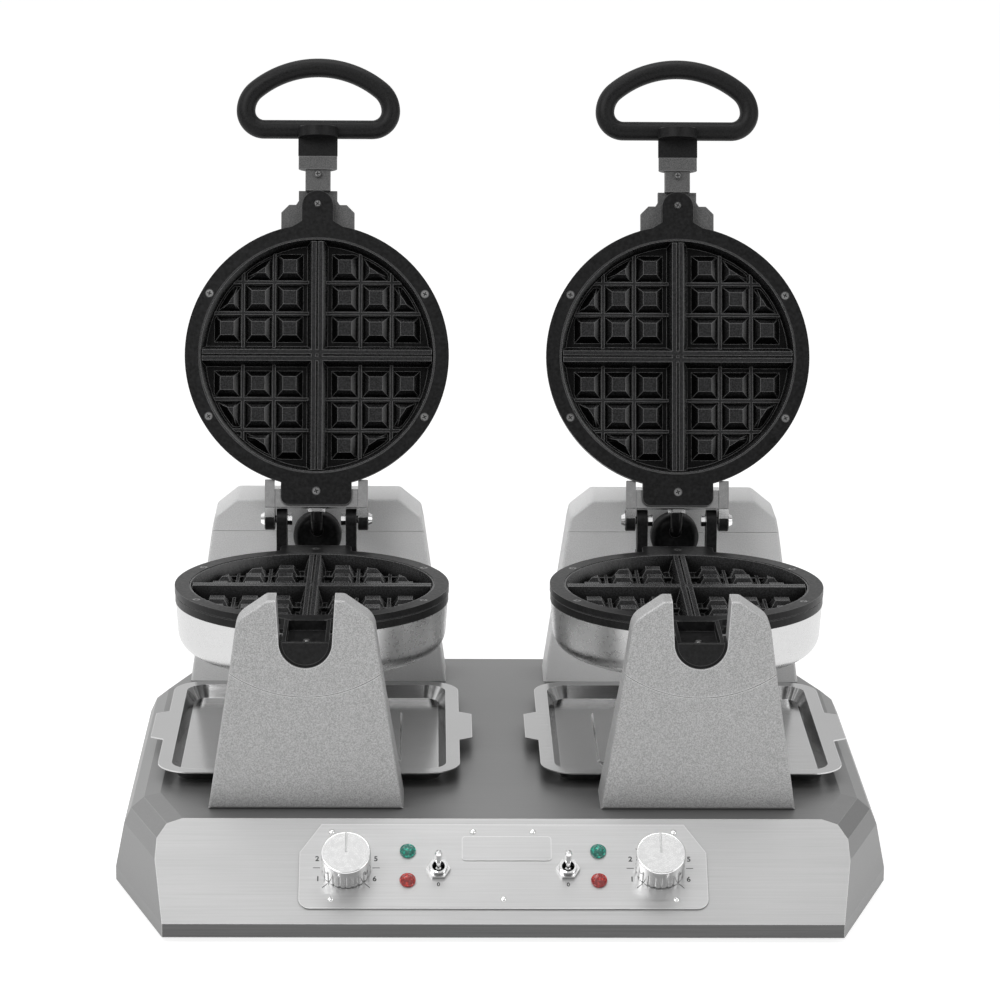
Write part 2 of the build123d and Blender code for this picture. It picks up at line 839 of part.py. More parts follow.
def build_plate(face):
    """Cast baking plate: round pan, four quarters of pegs and low ridges, and a cross between them."""
    floor_radius = cavity_radius - plate_gap - wall_slope
    floor = cavity_depth
    taper = degrees(atan2((peg_base - peg_top) / 2, peg_height))
    quarters = [(a, b) for a in (-1, 1) for b in (-1, 1)]
    with BuildPart() as plate:
        with BuildSketch(section(face)):
            with BuildLine():
                top = divider_gap / 2
                pan = cavity_radius - plate_gap
                Polyline(
                    (0, floor),
                    (floor_radius, floor),
                    (pan - 1, top),
                    (pan, top),
                    (pan, rim_lip + plate_gap / 3),
                    (flange_radius, rim_lip + plate_gap / 3),
                    (flange_radius, rim_lip + plate_flange),
                    (pan, rim_lip + plate_flange),
                    (floor_radius + 2, floor + plate_floor),
                    (0, floor + plate_floor),
                    close=True,
                )
            make_face()
        revolve(axis=depth_axis(face))
        with BuildSketch(face.offset(floor + plate_floor / 2)):
            for a, b in quarters:
                with Locations(*[(a * x, b * y) for x, y in peg_places()]):
                    Rectangle(peg_base + plate_floor / 2, peg_base + plate_floor / 2)
            Circle(floor_radius, mode=Mode.INTERSECT)
        extrude(amount=-peg_height - plate_floor / 2, taper=taper)
        with BuildSketch(face.offset(floor + plate_floor / 2)):
            for side in (-1, 1):
                for i in range(2):
                    across = side * (peg_first + peg_pitch * (i + 0.5))
                    with Locations((across, 0)):
                        Rectangle(ridge_width, 2 * floor_radius)
                    with Locations((0, across)):
                        Rectangle(2 * floor_radius, ridge_width)
            Circle(floor_radius, mode=Mode.INTERSECT)
        extrude(amount=-ridge_height - plate_floor / 2)
        for turn in (0, 90):
            across = Plane(
                origin=face.origin,
                x_dir=face.x_dir if turn else face.y_dir,
                z_dir=face.y_dir if turn else -face.x_dir,
            )
            with BuildSketch(across):
                with BuildLine():
                    half = divider_base / 2
                    crest = divider_top / 2
                    groove = divider_groove / 2
                    depth = -1 if across.y_dir.dot(face.z_dir) < 0 else 1
                    Polyline(
                        (-half, depth * (floor + plate_floor / 2)),
                        (-crest, depth * divider_gap),
                        (-groove, depth * divider_gap),
                        (0, depth * (divider_gap + divider_groove)),
                        (groove, depth * divider_gap),
                        (crest, depth * divider_gap),
                        (half, depth * (floor + plate_floor / 2)),
                        close=True,
                    )
                make_face()
            extrude(amount=cavity_radius - plate_gap - wall_slope / 2, both=True)
        with BuildSketch(face.offset(rim_lip)):
            with Locations(*screw_places()):
                Circle(screw_radius + hole_clearance / 2)
        extrude(amount=rim_height, mode=Mode.SUBTRACT)
    return plate.part


def build_heater(face):
    """Tubular element pressed against the back of the plate, with two legs for its leads."""
    level = cavity_depth + plate_floor + heater_radius + plate_gap / 3
    axis = depth_axis(face)
    with BuildPart() as heater:
        with BuildSketch(section(face)):
            with Locations((heater_ring, level)):
                Circle(heater_radius)
        revolve(axis=axis, revolution_arc=heater_arc)
        with BuildSketch(face.offset(level)):
            for turn in (0, heater_arc):
                x = heater_ring * cos(radians(turn))
                y = heater_ring * sin(radians(turn))
                with Locations((x, y)):
                    Circle(heater_radius / 2)
        extrude(amount=heater_leg)
    return heater.part


for name, side in sides.items():
    for half_name, face in (("lower", lower_face(side)), ("lid", lid_face(side))):
        is_lower = half_name == "lower"
        pieces = {
            "rim": build_rim(face, is_lower),
            "shell": build_shell(face),
            "plate": build_plate(face),
            "heater": build_heater(face),
            "screws": build_screws(face, is_lower),
        }
        for piece_name, piece in pieces.items():
            piece.label = f"{name}_{half_name}_{piece_name}"
            export_step(piece, f"parts/{piece.label}.step")

# Turning shaft and hinge of each lower half
for name, side in sides.items():
    face = lower_face(side)
    hinge_level = -hinge_z
    with BuildPart() as hinge_base:
        with BuildSketch(face.offset(tab_height + plate_gap / 3)):
            with Locations((0, -(tail_screw_y + collar_start) / 2)):
                Rectangle(2 * base_plate_half, collar_start - tail_screw_y)
            Circle(rim_radius + face_gap, mode=Mode.SUBTRACT)
        extrude(amount=hinge_plate)
        for hand in (-1, 1):
            middle = hand * (lug_inner + lug_outer) / 2
            with BuildSketch(side_view(face, middle)):
                with BuildLine():
                    base_level = tab_height + hinge_plate
                    Polyline(
                        (lug_radius - hinge_y, hinge_level),
                        (lug_radius - hinge_y, base_level),
                        (-lug_radius - hinge_y, base_level),
                        (-lug_radius - hinge_y, hinge_level),
                        close=True,
                    )
                make_face()
                with Locations((-hinge_y, hinge_level)):
                    Circle(lug_radius)
                    Circle(bolt_radius + bolt_clearance, mode=Mode.SUBTRACT)
            extrude(amount=(lug_outer - lug_inner) / 2, both=True)
        with BuildSketch(face):
            with Locations((0, -tail_screw_y)):
                Circle(screw_radius + hole_clearance / 2)
        extrude(amount=2 * rim_height, mode=Mode.SUBTRACT)
    hinge_base.part.label = f"{name}_hinge_base"
    export_step(hinge_base.part, f"parts/{name}_hinge_base.step")

    with BuildPart() as shaft:
        with BuildSketch(front_view(side, collar_start)):
            Circle(collar_radius)
        extrude(amount=collar_end - collar_start)
        fillet(shaft.edges().sort_by(Axis.Y)[0], collar_round)
        with BuildSketch(front_view(side, collar_end)):
            Circle(shaft_radius)
        extrude(amount=rear_face_y + bearing_length - collar_end)
        with BuildSketch(front_view(side, collar_end - sheet)):
            Circle(shaft_bore)
        extrude(amount=rear_face_y + bearing_length - collar_end + sheet, mode=Mode.SUBTRACT)
        with BuildSketch(front_view(side, collar_start)):
            with Locations((0, conduit_exit_z)):
                Circle(conduit_radius + conduit_clearance)
        extrude(amount=conduit_grip, mode=Mode.SUBTRACT)
    shaft.part.label = f"{name}_turning_shaft"
    export_step(shaft.part, f"parts/{name}_turning_shaft.step")

    with BuildPart() as hinge_bolts:
        for hand in (-1, 1):
            pin_origin = face.origin - face.y_dir * hinge_y + face.z_dir * hinge_level
            head_x = arm_outer + plate_gap
            nut_x = lug_inner - plate_gap / 3 - bolt_nut_height
            outward = face.x_dir * hand
            seat = Plane(origin=pin_origin + outward * head_x, x_dir=face.y_dir, z_dir=outward)
            with BuildSketch(seat):
                Circle(bolt_head_radius)
            extrude(amount=bolt_head_height, taper=30)
            with BuildSketch(seat):
                Circle(bolt_radius)
            extrude(amount=nut_x - head_x)
            with BuildSketch(seat.offset(nut_x - head_x)):
                RegularPolygon(bolt_nut_width / 2, 6, major_radius=False)
            extrude(amount=bolt_nut_height)
    hinge_bolts.part.label = f"{name}_hinge_bolts"
    export_step(hinge_bolts.part, f"parts/{name}_hinge_bolts.step")

# Hinge arms, handle bracket and handle of each lid
for name, side in sides.items():
    face = lid_face(side)
    back = tab_height + plate_gap / 3
    with BuildPart() as hinge_arms:
        with BuildSketch(face.offset(back)):
            with Locations((0, -(tail_screw_y + web_y) / 2 - web_thickness)):
                Rectangle(2 * arm_outer, web_y - tail_screw_y + 4 * web_thickness)
            Circle(rim_radius + face_gap, mode=Mode.SUBTRACT)
            with Locations((0, -web_y - web_thickness - tail_length)):
                Rectangle(2 * arm_outer, 2 * tail_length, mode=Mode.SUBTRACT)
        extrude(amount=web_thickness)
        with BuildSketch(face.offset(back)):
            with Locations((0, -web_y - web_thickness / 2)):
                Rectangle(2 * arm_inner, web_thickness)
        extrude(amount=web_height - back)
        for hand in (-1, 1):
            middle = hand * (arm_inner + arm_outer) / 2
            with BuildSketch(side_view(face, middle)):
                with BuildLine():
                    Polyline(
                        (-tail_screw_y + web_thickness, back),
                        (lug_radius - hinge_y, back),
                        (-hinge_y, hinge_z - lug_radius),
                        (-hinge_y, hinge_z + lug_radius),
                        (-tail_screw_y + web_thickness, web_height),
                        close=True,
                    )
                make_face()
                with Locations((-hinge_y, hinge_z)):
                    Circle(lug_radius)
                    Circle(bolt_radius + bolt_clearance, mode=Mode.SUBTRACT)
            extrude(amount=(arm_outer - arm_inner) / 2, both=True)
        with BuildSketch(face):
            with Locations((0, -tail_screw_y)):
                Circle(screw_radius + hole_clearance / 2)
        extrude(amount=web_height, mode=Mode.SUBTRACT)
        web_face = Plane(origin=face.origin - face.y_dir * web_y, x_dir=-face.x_dir, z_dir=-face.y_dir)
        with BuildSketch(web_face):
            with Locations((0, conduit_lid_z)):
                Circle(conduit_radius + conduit_clearance)
        extrude(amount=2 * web_thickness, mode=Mode.SUBTRACT)
    hinge_arms.part.label = f"{name}_hinge_arms"
    export_step(hinge_arms.part, f"parts/{name}_hinge_arms.step")

    with BuildPart() as bracket:
        with BuildSketch(face.offset(back)):
            with BuildLine():
                Polyline(
                    (-bracket_wing_half, 0),
                    (bracket_wing_half, 0),
                    (bracket_wing_half, bracket_wing_end - 6),
                    (bracket_wing_half - 6, bracket_wing_end),
                    (bracket_half + 2, bracket_wing_end),
                    (bracket_half, bracket_wing_end + 3),
                    (bracket_half, bracket_neck_end),
                    (-bracket_half, bracket_neck_end),
                    (-bracket_half, bracket_wing_end + 3),
                    (-bracket_half - 2, bracket_wing_end),
                    (6 - bracket_wing_half, bracket_wing_end),
                    (-bracket_wing_half, bracket_wing_end - 6),
                    close=True,
                )
            make_face()
            Circle(rim_radius + face_gap, mode=Mode.SUBTRACT)
        extrude(amount=bracket_plate)
        with BuildSketch(face.offset(2)):
            with Locations((0, (neck_length + bracket_head_start) / 2)):
                Rectangle(2 * bracket_shank_half, bracket_head_start - neck_length - face_gap)
        extrude(amount=shank_depth)
        with BuildSketch(face.offset(back)):
            with Locations((0, neck_length - 1)):
                Rectangle(2 * bracket_shank_half, 6)
        extrude(amount=bracket_plate)
        head = Plane(
            origin=face.origin + face.y_dir * bracket_head_start, x_dir=-face.x_dir, z_dir=face.y_dir
        )
        with BuildSketch(head):
            Circle(bracket_half)
            with Locations((0, face_gap - bracket_half)):
                Rectangle(2 * bracket_half, 2 * bracket_half, mode=Mode.SUBTRACT)
        extrude(amount=bracket_head_end - bracket_head_start)
        with BuildSketch(face):
            with Locations((0, handle_screw_y), (0, neck_screw_y)):
                Circle(screw_radius + hole_clearance / 2)
        extrude(amount=2 * rim_height, mode=Mode.SUBTRACT)
    bracket.part.label = f"{name}_handle_bracket"
    export_step(bracket.part, f"parts/{name}_handle_bracket.step")

    # Each end of the loop turns on a small arc, then runs into the wide arc of its top
    loop_drop = loop_height - loop_corner
    top_centre = loop_height - loop_top_radius
    end_radius = (loop_top_radius**2 - loop_half_width**2 - (loop_top_radius - loop_drop) ** 2) / (
        2 * (loop_top_radius - loop_half_width)
    )
    end_centre = loop_half_width - end_radius
    meet_angle = degrees(atan2(loop_corner - top_centre, end_centre))
    bar_plane = face.offset(bar_z)
    bar_plane.origin = bar_plane.origin + face.y_dir * bar_y
    with BuildPart() as handle:
        with BuildLine(bar_plane) as loop:
            straight = loop_half_width - loop_corner
            Line((-straight, 0), (straight, 0))
            CenterArc((straight, loop_corner), loop_corner, -90, 90)
            CenterArc((end_centre, loop_corner), end_radius, 0, meet_angle)
            CenterArc((0, top_centre), loop_top_radius, meet_angle, 180 - 2 * meet_angle)
            CenterArc((-end_centre, loop_corner), end_radius, 180 - meet_angle, meet_angle)
            CenterArc((-straight, loop_corner), loop_corner, 180, 90)
        with BuildSketch(Plane(origin=bar_plane.origin, x_dir=face.z_dir, z_dir=face.x_dir)):
            Circle(bar_radius)
        sweep(path=loop.wires()[0])
        boss = Plane(
            origin=face.origin + face.y_dir * (bracket_head_end + plate_gap / 3),
            x_dir=-face.x_dir,
            z_dir=face.y_dir,
        )
        with BuildSketch(boss):
            Circle(boss_radius)
            with Locations((0, face_gap - boss_radius)):
                Rectangle(2 * boss_radius, 2 * boss_radius, mode=Mode.SUBTRACT)
        extrude(amount=boss_end - bracket_head_end)
        with BuildSketch(boss.offset(boss_end - bracket_head_end)):
            Circle(boss_radius)
            with Locations((0, face_gap - boss_radius)):
                Rectangle(2 * boss_radius, 2 * boss_radius, mode=Mode.SUBTRACT)
        extrude(amount=bar_y - boss_end, taper=30)
    handle.part.label = f"{name}_handle"
    export_step(handle.part, f"parts/{name}_handle.step")

# Wiring conduits from the turning shafts up into the lids
for name, side in sides.items():
    low = lower_face(side)
    lid = lid_face(side)
    start = low.origin - low.y_dir * (collar_start + conduit_grip / 2) - low.z_dir * conduit_exit_z
    end = lid.origin - lid.y_dir * (web_y + web_thickness + face_gap) + lid.z_dir * conduit_lid_z
    with BuildPart() as conduit:
        with BuildLine() as route:
            Spline(start, end, tangents=(low.y_dir, lid.y_dir), tangent_scalars=(0.9, 0.9))
        with BuildSketch(Plane(origin=start, x_dir=(1, 0, 0), z_dir=low.y_dir)):
            Circle(conduit_radius)
        sweep(path=route.wires()[0])
    conduit.part.label = f"{name}_conduit"
    export_step(conduit.part, f"parts/{name}_conduit.step")

# Drip trays
for name, side in sides.items():
    seat = Plane(origin=(side * iron_spacing / 2, iron_setback + tray_setback, base_top + tray_height))
    inner_width = tray_width - 2 * tray_flange
    inner_length = tray_length - 2 * tray_flange
    pan_taper = degrees(atan2(tray_draft, tray_height))
    with BuildPart() as tray:
        with BuildSketch(seat) as flange:
            RectangleRounded(tray_width, tray_length, tray_corner)
            for hand in (-1, 1):
                with BuildLine():
                    edge = hand * tray_width / 2
                    tip = hand * (tray_width / 2 + tray_ear)
                    Polyline(
                        (edge - hand, -tray_ear_length / 2),
                        (edge, -tray_ear_length / 2),
                        (tip, -tray_ear_tip / 2),
                        (tip, tray_ear_tip / 2),
                        (edge, tray_ear_length / 2),
                        (edge - hand, tray_ear_length / 2),
                        close=True,
                    )
                make_face()
        extrude(amount=-tray_sheet)
        with BuildSketch(seat):
            RectangleRounded(inner_width, inner_length, tray_corner - tray_flange)
        extrude(amount=-tray_height, taper=pan_taper)
        with BuildSketch(seat):
            wall_width = inner_width - 2 * tray_sheet
            wall_length = inner_length - 2 * tray_sheet
            RectangleRounded(wall_width, wall_length, tray_corner - tray_flange - tray_sheet)
        extrude(amount=tray_sheet - tray_height, taper=pan_taper, mode=Mode.SUBTRACT)
        with BuildSketch(seat.offset(tray_sheet - tray_height)):
            RectangleRounded(2 * tray_emboss_half_x, 2 * tray_emboss_half_y, tray_corner / 2)
        extrude(amount=tray_emboss, taper=45)
    tray.part.label = f"{name}_tray"
    export_step(tray.part, f"parts/{name}_tray.step")
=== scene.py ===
import json
import math

import bmesh
import bpy
from mathutils import Matrix, Vector


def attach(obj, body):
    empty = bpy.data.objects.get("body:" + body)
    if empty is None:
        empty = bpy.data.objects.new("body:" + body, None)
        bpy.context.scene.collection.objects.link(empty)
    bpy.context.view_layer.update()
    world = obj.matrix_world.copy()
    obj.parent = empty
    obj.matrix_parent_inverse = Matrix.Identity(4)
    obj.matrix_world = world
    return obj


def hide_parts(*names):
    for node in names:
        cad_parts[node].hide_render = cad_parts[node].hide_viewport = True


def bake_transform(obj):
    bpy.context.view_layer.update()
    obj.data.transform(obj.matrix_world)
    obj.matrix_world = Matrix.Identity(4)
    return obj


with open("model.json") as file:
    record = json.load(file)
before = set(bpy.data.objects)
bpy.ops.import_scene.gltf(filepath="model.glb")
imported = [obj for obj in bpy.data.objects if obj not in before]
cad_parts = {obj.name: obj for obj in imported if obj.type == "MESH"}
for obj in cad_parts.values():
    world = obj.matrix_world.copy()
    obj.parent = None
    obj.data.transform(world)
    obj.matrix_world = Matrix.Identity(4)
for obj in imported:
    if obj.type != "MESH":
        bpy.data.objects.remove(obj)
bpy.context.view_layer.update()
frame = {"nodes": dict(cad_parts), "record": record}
nodes = frame["nodes"]

# Sizes shared with the CAD source, in metres
MM = 0.001
IRON_X = 137.5 * MM
SETBACK = 14.7 * MM
SHAFT_Z = 187.6 * MM
HINGE_Y = 124.0 * MM
HINGE_Z = 18.0 * MM
LEAN = math.radians(17.4)
FRONT_Y = -239.325 * MM
LIP_Z = 13.8 * MM
SLOPE = math.atan2(53.2, 68.4)
SIDES = {"left": -1, "right": 1}
PANEL_TOP = 1.0
HINGE_PIN_Y, HINGE_PIN_Z = -124.0, -18.0
RIM_SCREW_X, RIM_SCREW_Y, TAIL_SCREW_Y = 82.0, 47.0, -103.6
NECK_SCREW_Y, HANDLE_SCREW_Y = 116.0, 139.0
DIAL_X, DIAL_Y, DIAL_REACH, TICK_REACH = 108.0, 45.0, 21.5, 20.5
SWITCH_X, SWITCH_LABEL_Y = 44.6, 31.5
CONDUIT_RADIUS = 4.5 * MM


# Camera at the photograph's viewing angle
def make_camera():
    pitch = math.radians(13.401)
    yaw = math.radians(1.096)
    roll = math.radians(0.447)
    forward = Vector((math.sin(yaw) * math.cos(pitch), math.cos(yaw) * math.cos(pitch), -math.sin(pitch)))
    right = Vector((math.cos(yaw), -math.sin(yaw), 0.0))
    up = right.cross(forward)
    right2 = math.cos(roll) * right + math.sin(roll) * up
    up2 = -math.sin(roll) * right + math.cos(roll) * up
    data = bpy.data.cameras.new("camera")
    data.sensor_width = 36.0
    data.lens = 3940.2 * 36.0 / 1000.0
    data.clip_start = 0.1
    data.clip_end = 60.0
    camera = bpy.data.objects.new("camera", data)
    bpy.context.scene.collection.objects.link(camera)
    turn = Matrix((right2, up2, -forward)).transposed().to_4x4()
    camera.matrix_world = Matrix.Translation((-0.0536, -2.7853, 0.9179)) @ turn
    bpy.context.scene.camera = camera


make_camera()


# Node helpers
def new_material(name):
    mat = bpy.data.materials.new(name)
    mat.use_nodes = True
    tree = mat.node_tree
    shader = tree.nodes["Principled BSDF"]
    return mat, tree, shader


def add(tree, kind, **values):
    node = tree.nodes.new(kind)
    for key, value in values.items():
        if key in node.inputs:
            node.inputs[key].default_value = value
        else:
            setattr(node, key, value)
    return node


def coords(tree, scale=(1, 1, 1), turn=(0, 0, 0)):
    place = add(tree, "ShaderNodeTexCoord")
    mapping = add(tree, "ShaderNodeMapping")
    mapping.inputs["Scale"].default_value = scale
    mapping.inputs["Rotation"].default_value = turn
    tree.links.new(place.outputs["Object"], mapping.inputs["Vector"])
    return mapping.outputs["Vector"]


def noise(tree, vector, scale, detail=2.0, rough=0.5):
    node = add(tree, "ShaderNodeTexNoise")
    node.inputs["Scale"].default_value = scale
    node.inputs["Detail"].default_value = detail
    node.inputs["Roughness"].default_value = rough
    tree.links.new(vector, node.inputs["Vector"])
    return node.outputs["Fac"]


def ramp(tree, value, low, high, start=0.3, end=0.7):
    node = add(tree, "ShaderNodeMapRange")
    node.inputs["From Min"].default_value = start
    node.inputs["From Max"].default_value = end
    node.inputs["To Min"].default_value = low
    node.inputs["To Max"].default_value = high
    tree.links.new(value, node.inputs["Value"])
    return node.outputs["Result"]


def mix_color(tree, fac, low, high):
    node = add(tree, "ShaderNodeMix", data_type="RGBA")
    tree.links.new(fac, node.inputs[0])
    for index, colour in ((6, low), (7, high)):
        if isinstance(colour, bpy.types.NodeSocket):
            tree.links.new(colour, node.inputs[index])
        else:
            node.inputs[index].default_value = (*colour, 1.0)
    return node.outputs[2]


def math_node(tree, operation, a, b):
    node = add(tree, "ShaderNodeMath", operation=operation)
    for index, value in ((0, a), (1, b)):
        if isinstance(value, bpy.types.NodeSocket):
            tree.links.new(value, node.inputs[index])
        else:
            node.inputs[index].default_value = value
    return node.outputs[0]


def bump(tree, shader, height, distance, strength=1.0):
    node = add(tree, "ShaderNodeBump")
    node.inputs["Distance"].default_value = distance
    node.inputs["Strength"].default_value = strength
    tree.links.new(height, node.inputs["Height"])
    tree.links.new(node.outputs["Normal"], shader.inputs["Normal"])
    return node


def edge_mask(tree, radius, low=0.93, high=0.999):
    """1 on sharp edges and 0 on open faces."""
    bevel = add(tree, "ShaderNodeBevel")
    bevel.samples = 6
    bevel.inputs["Radius"].default_value = radius
    plain = add(tree, "ShaderNodeNewGeometry")
    dot = add(tree, "ShaderNodeVectorMath", operation="DOT_PRODUCT")
    tree.links.new(bevel.outputs["Normal"], dot.inputs[0])
    tree.links.new(plain.outputs["Normal"], dot.inputs[1])
    return ramp(tree, dot.outputs["Value"], 1.0, 0.0, low, high)


def hollows(tree, distance, low=0.35, high=0.95):
    """1 in deep hollows and 0 on open faces."""
    shade = add(tree, "ShaderNodeAmbientOcclusion")
    shade.samples = 8
    shade.inputs["Distance"].default_value = distance
    return ramp(tree, shade.outputs["AO"], 1.0, 0.0, low, high)


def grey(value, tint=0.0):
    return (value, value, value * (1 + tint))


# Materials
def brushed(name, light, dark, rough=0.38, metal=0.9, along="X", fine=900.0, depth=0.00004, edge_highlight=0.0):
    """Steel brushed along one axis, with fine streaks, a faint cloudiness and, where asked, painted highlights on
    its edges.
    """
    mat, tree, shader = new_material(name)
    stretch = {"X": (0.012, 1, 1), "Y": (1, 0.012, 1), "Z": (1, 1, 0.012)}[along]
    streaks = noise(tree, coords(tree, stretch), fine, 3.0, 0.65)
    clouds = noise(tree, coords(tree), 14.0, 2.0)
    colour = mix_color(tree, ramp(tree, streaks, 0.0, 1.0), grey(dark), grey(light))
    colour = mix_color(tree, ramp(tree, clouds, 0.0, 0.18), colour, grey(dark * 0.8))
    # Painted highlights on sharp edges, mixed towards light grey.
    if edge_highlight > 0:
        colour = mix_color(tree, math_node(tree, "MULTIPLY", edge_mask(tree, 0.0012), edge_highlight), colour, grey(0.85))
    tree.links.new(colour, shader.inputs["Base Color"])
    tree.links.new(ramp(tree, streaks, rough - 0.06, rough + 0.08), shader.inputs["Roughness"])
    shader.inputs["Metallic"].default_value = metal
    bump(tree, shader, streaks, depth)
    return mat


def hammered(name, light, dark, metal=0.4, rough=0.5, edge_highlight=0.85, bright=0.85, deep=0.55):
    """Silver hammertone paint: a fine speckle and soft pits, with painted shade in the hollows and painted
    highlights along the edges.
    """
    mat, tree, shader = new_material(name)
    grain = noise(tree, coords(tree), 1500.0, 1.0, 0.6)
    pits = noise(tree, coords(tree), 600.0, 1.0, 0.5)
    colour = mix_color(tree, ramp(tree, grain, 0.0, 1.0, 0.36, 0.64), grey(dark), grey(light))
    # Painted shade in hollows, found by ambient occlusion.
    if deep > 0:
        colour = mix_color(tree, math_node(tree, "MULTIPLY", hollows(tree, 0.03), deep), colour, grey(dark * 0.35))
    # Painted highlights along the edges.
    highlight_mask = edge_mask(tree, 0.0016, 0.86, 0.995)
    colour = mix_color(tree, math_node(tree, "MULTIPLY", highlight_mask, edge_highlight), colour, grey(bright))
    tree.links.new(colour, shader.inputs["Base Color"])
    shader.inputs["Metallic"].default_value = metal
    tree.links.new(ramp(tree, grain, rough - 0.1, rough + 0.12), shader.inputs["Roughness"])
    both = math_node(tree, "ADD", grain, pits)
    bump(tree, shader, both, 0.00022, 0.7)
    return mat


def coated(name, base, bright, rough=0.35, speck=500.0, pit=0.00008, edge_highlight=0.4, shine=0.2, deep=0.0, painted_flank_light=0.0):
    """Dark coating or paint on a casting, with painted highlights on the edges, painted light on right-facing
    flanks and painted shade in hollows.
    """
    mat, tree, shader = new_material(name)
    grain = noise(tree, coords(tree), speck, 3.0, 0.6)
    colour = mix_color(tree, ramp(tree, grain, 0.0, 1.0), grey(base * 0.55), grey(base * 1.6, 0.03))
    # Painted light: faces turned towards +X are mixed lighter, as if lit from the right.
    if painted_flank_light > 0:
        facing = add(tree, "ShaderNodeNewGeometry")
        split = add(tree, "ShaderNodeSeparateXYZ")
        tree.links.new(facing.outputs["True Normal"], split.inputs[0])
        side = ramp(tree, split.outputs["X"], 0.0, painted_flank_light, 0.35, 0.8)
        colour = mix_color(tree, side, colour, grey(0.5))
    # Painted shade in hollows, found by ambient occlusion.
    if deep > 0:
        shade = math_node(tree, "MULTIPLY", hollows(tree, deep, 0.55, 0.9), 0.97)
        colour = mix_color(tree, shade, colour, grey(0.002))
    shader.inputs["Specular IOR Level"].default_value = shine
    # Painted highlights along the edges.
    highlight_mask = math_node(tree, "MULTIPLY", edge_mask(tree, 0.0006), edge_highlight)
    colour = mix_color(tree, highlight_mask, colour, grey(bright))
    tree.links.new(colour, shader.inputs["Base Color"])
    tree.links.new(ramp(tree, grain, rough - 0.05, rough + 0.1), shader.inputs["Roughness"])
    bump(tree, shader, grain, pit, 0.7)
    return mat


def plain(name, colour, rough=0.5, metal=0.0, vary=0.15, scale=200.0):
    mat, tree, shader = new_material(name)
    grain = noise(tree, coords(tree), scale, 2.0)
    low = tuple(v * (1 - vary) for v in colour)
    tree.links.new(mix_color(tree, ramp(tree, grain, 0.0, 1.0), low, colour), shader.inputs["Base Color"])
    tree.links.new(ramp(tree, grain, rough - 0.04, rough + 0.06), shader.inputs["Roughness"])
    shader.inputs["Metallic"].default_value = metal
    return mat


def chrome(name, colour, rough, deep):
    """Bright plating with painted shade in its narrow grooves."""
    mat, tree, shader = new_material(name)
    grain = noise(tree, coords(tree), 300.0, 2.0)
    tone = mix_color(tree, ramp(tree, grain, 0.0, 1.0), grey(colour * 0.95), grey(colour))
    # Painted shade: grooves found by ambient occlusion go near black.
    tone = mix_color(tree, hollows(tree, deep, 0.3, 0.75), tone, grey(0.01))
    tree.links.new(tone, shader.inputs["Base Color"])
    tree.links.new(ramp(tree, grain, rough, rough + 0.05), shader.inputs["Roughness"])
    shader.inputs["Metallic"].default_value = 1.0
    return mat


def base_steel():
    """Housing steel, brushed, with painted light and shade: painted light on the slope, painted shade on the
    flats, bends and lip, painted shade in hollows and painted highlights on edges.
    """
    mat, tree, shader = new_material("base_steel_look")
    streaks = noise(tree, coords(tree, (0.012, 1, 1)), 900.0, 3.0, 0.65)
    clouds = noise(tree, coords(tree), 9.0, 2.0)
    geometry = add(tree, "ShaderNodeNewGeometry")
    split = add(tree, "ShaderNodeSeparateXYZ")
    tree.links.new(geometry.outputs["True Normal"], split.inputs[0])
    up = split.outputs["Z"]
    front = math_node(tree, "MULTIPLY", split.outputs["Y"], -1.0)
    # Lit and shaded tones of the same steel, picked by the face's normal: painted shade on flats and bends,
    # painted light on the slope, painted shade on the lip.
    flat = mix_color(tree, ramp(tree, streaks, 0.0, 1.0), grey(0.23), grey(0.27))
    bright = mix_color(tree, ramp(tree, streaks, 0.0, 1.0), grey(0.45), grey(0.50))
    lip = mix_color(tree, ramp(tree, streaks, 0.0, 1.0), grey(0.13), grey(0.18))
    on_slope = ramp(tree, front, 0.0, 1.0, 0.45, 0.55)
    on_lip = ramp(tree, front, 0.0, 1.0, 0.8, 0.9)
    colour = mix_color(tree, on_slope, flat, bright)
    colour = mix_color(tree, on_lip, colour, lip)
    colour = mix_color(tree, ramp(tree, clouds, 0.0, 0.14), colour, grey(0.2))
    # Painted shade in hollows.
    shade = math_node(tree, "MULTIPLY", hollows(tree, 0.05), 0.5)
    colour = mix_color(tree, shade, colour, grey(0.04))
    # Painted highlights on edges.
    edge_highlight = math_node(tree, "MULTIPLY", edge_mask(tree, 0.0009, 0.9, 0.998), 0.7)
    colour = mix_color(tree, edge_highlight, colour, grey(0.75))
    tree.links.new(colour, shader.inputs["Base Color"])
    tree.links.new(ramp(tree, streaks, 0.36, 0.42), shader.inputs["Roughness"])
    shader.inputs["Metallic"].default_value = 0.7
    bump(tree, shader, streaks, 0.00004)
    return mat


def lens_look(name, colour, deep):
    mat, tree, shader = new_material(name)
    facets = add(tree, "ShaderNodeTexVoronoi", distance="MANHATTAN")
    facets.inputs["Scale"].default_value = 420.0
    tree.links.new(coords(tree), facets.inputs["Vector"])
    shade = mix_color(tree, ramp(tree, facets.outputs["Distance"], 0.0, 1.0, 0.1, 0.7), colour, deep)
    tree.links.new(shade, shader.inputs["Base Color"])
    shader.inputs["Roughness"].default_value = 0.12
    shader.inputs["Coat Weight"].default_value = 0.6
    bump(tree, shader, facets.outputs["Distance"], 0.0006, 0.7)
    return mat


